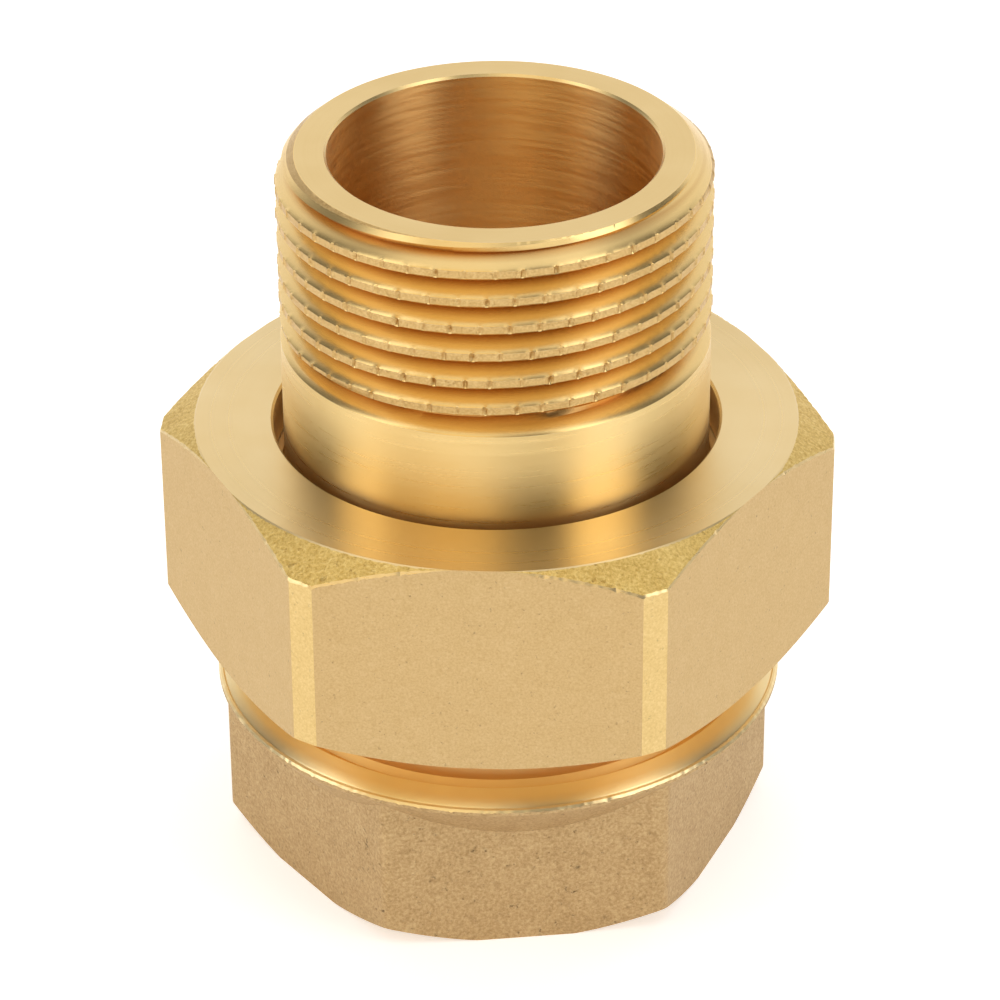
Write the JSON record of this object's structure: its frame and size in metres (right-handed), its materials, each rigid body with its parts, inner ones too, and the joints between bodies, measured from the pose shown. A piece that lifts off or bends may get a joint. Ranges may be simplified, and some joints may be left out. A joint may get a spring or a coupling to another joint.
{
  "type": "pipe union",
  "caption": "Straight brass pipe union with a male threaded tailpiece, a hexagon union nut and a female threaded hexagon body.",
  "frame": {"origin": "on the pipe axis, at the end face of the female body", "axes": "+Z along the pipe axis from the female end to the male end; -Y faces the side the hexagons present to the front"},
  "size_m": [0.0422, 0.0384, 0.0475],
  "materials": {
    "turned_brass": "bright turned",
    "nut_brass": "blasted flats, turned ends",
    "forged_brass": "forged and blasted, turned shoulder",
    "gasket_rubber": "matte"
  },
  "bodies": {
    "body_end": {"union_body": "forged_brass", "sealing_gasket": "gasket_rubber"},
    "tailpiece": {"male_tailpiece": "turned_brass"},
    "nut": {"union_nut": "nut_brass"}
  },
  "joints": [
    {"name": "tailpiece_lift", "type": "slide", "parent": "body_end", "child": "tailpiece", "axis": [0, 0, 1], "range_m": [0, 0.00693]},
    {"name": "nut_spin", "type": "hinge", "parent": "tailpiece", "child": "nut", "pos_m": [0, 0, 0.0222], "axis": [0, 0, 1], "range_deg": [0, 1080]}
  ],
  "couplings": [
    {"joint": "tailpiece_lift", "follows": "nut_spin", "m_per_rad": 0.00036749}
  ]
}
